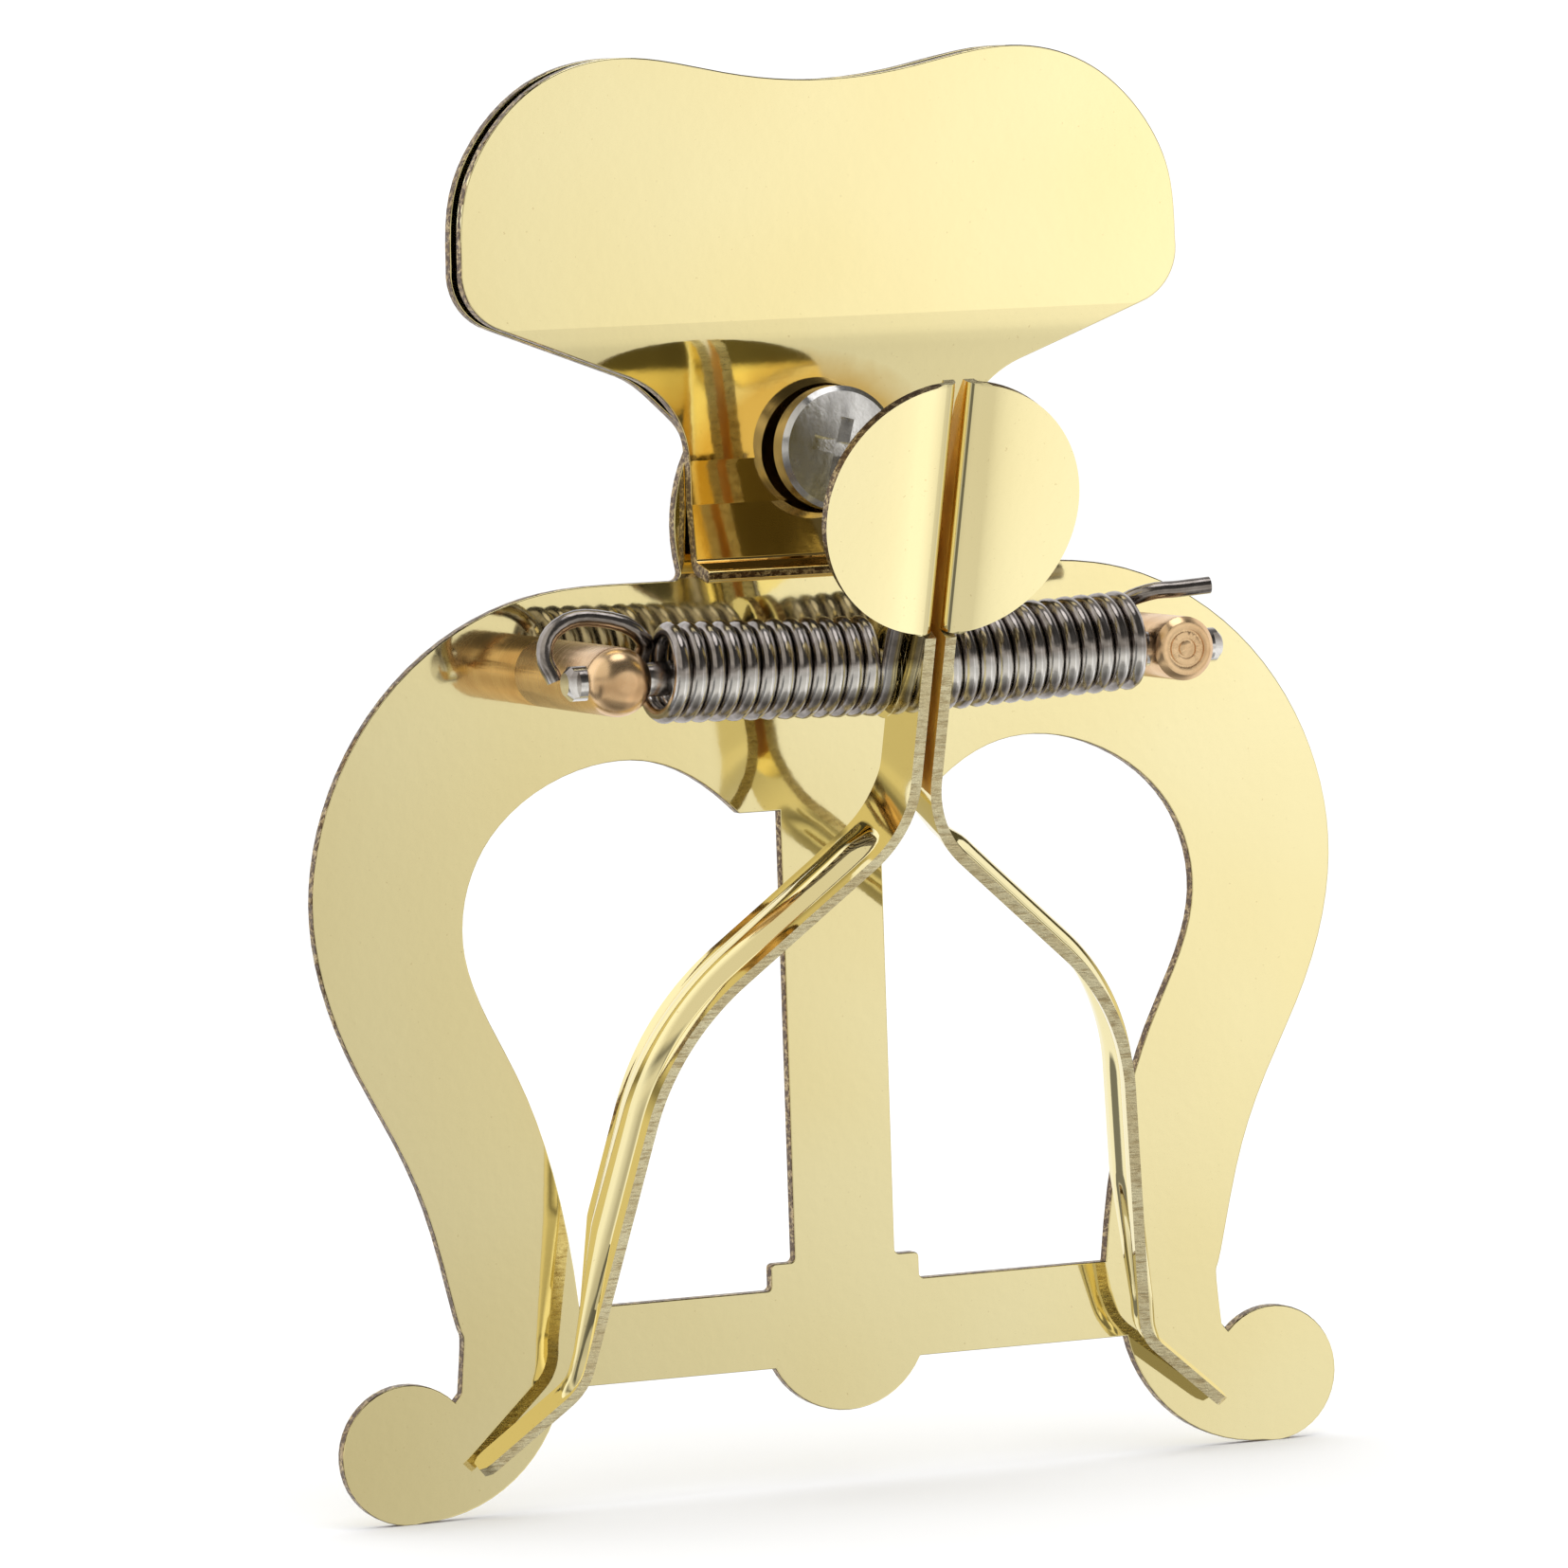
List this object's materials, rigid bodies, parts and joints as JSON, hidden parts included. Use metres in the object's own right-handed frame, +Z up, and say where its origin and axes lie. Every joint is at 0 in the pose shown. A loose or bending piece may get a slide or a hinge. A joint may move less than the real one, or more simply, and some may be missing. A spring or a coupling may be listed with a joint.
{
  "type": "clamp-on music lyre",
  "caption": "Lyre-shaped sheet-metal music holder with a two-jaw screw clamp and sprung fingers that press sheet music against the plate.",
  "frame": {"origin": "middle of the grip, on the gripping face of the back jaw", "axes": "+Z up from the lyre towards the clamp, -Y towards the music side, +X to the right seen from the music side"},
  "size_m": [0.0974, 0.0382, 0.126],
  "materials": {
    "gold_lacquer": "polished sheet under clear gold lacquer, sheared edges left rough",
    "nickel": "nickel-plated steel",
    "bare_brass": "turned brass, fine tool rings",
    "dark_steel": "oiled spring steel"
  },
  "bodies": {
    "frame": {"lyre_plate": "gold_lacquer", "clamp_nut": "nickel", "left_post": "bare_brass", "right_post": "bare_brass", "pivot_axle": "dark_steel", "left_spring": "dark_steel", "right_spring": "dark_steel"},
    "front_jaw": {"front_jaw": "gold_lacquer"},
    "clamp_screw": {"clamp_screw": "nickel"},
    "left_finger": {"left_finger": "gold_lacquer"},
    "right_finger": {"right_finger": "gold_lacquer"}
  },
  "joints": [
    {"name": "jaw_open", "type": "slide", "parent": "frame", "child": "front_jaw", "axis": [0, -1, 0], "range_m": [0, 0.0024]},
    {"name": "screw_turn", "type": "hinge", "parent": "front_jaw", "child": "clamp_screw", "pos_m": [0, -0.003, -0.0189], "axis": [0, -1, 0], "range_deg": [0, 1080]},
    {"name": "left_finger_lift", "type": "hinge", "parent": "frame", "child": "left_finger", "pos_m": [0, -0.0154, -0.03725], "axis": [-1, 0, 0], "range_deg": [0, 32], "stiffness_Nm_per_rad": 0.05, "springref_deg": -34.38, "deforming": ["left_spring"]},
    {"name": "right_finger_lift", "type": "hinge", "parent": "frame", "child": "right_finger", "pos_m": [0, -0.0154, -0.03725], "axis": [-1, 0, 0], "range_deg": [0, 32], "stiffness_Nm_per_rad": 0.05, "springref_deg": -34.38, "deforming": ["right_spring"]}
  ],
  "couplings": [
    {"joint": "screw_turn", "follows": "jaw_open", "rad_per_m": 7854}
  ]
}
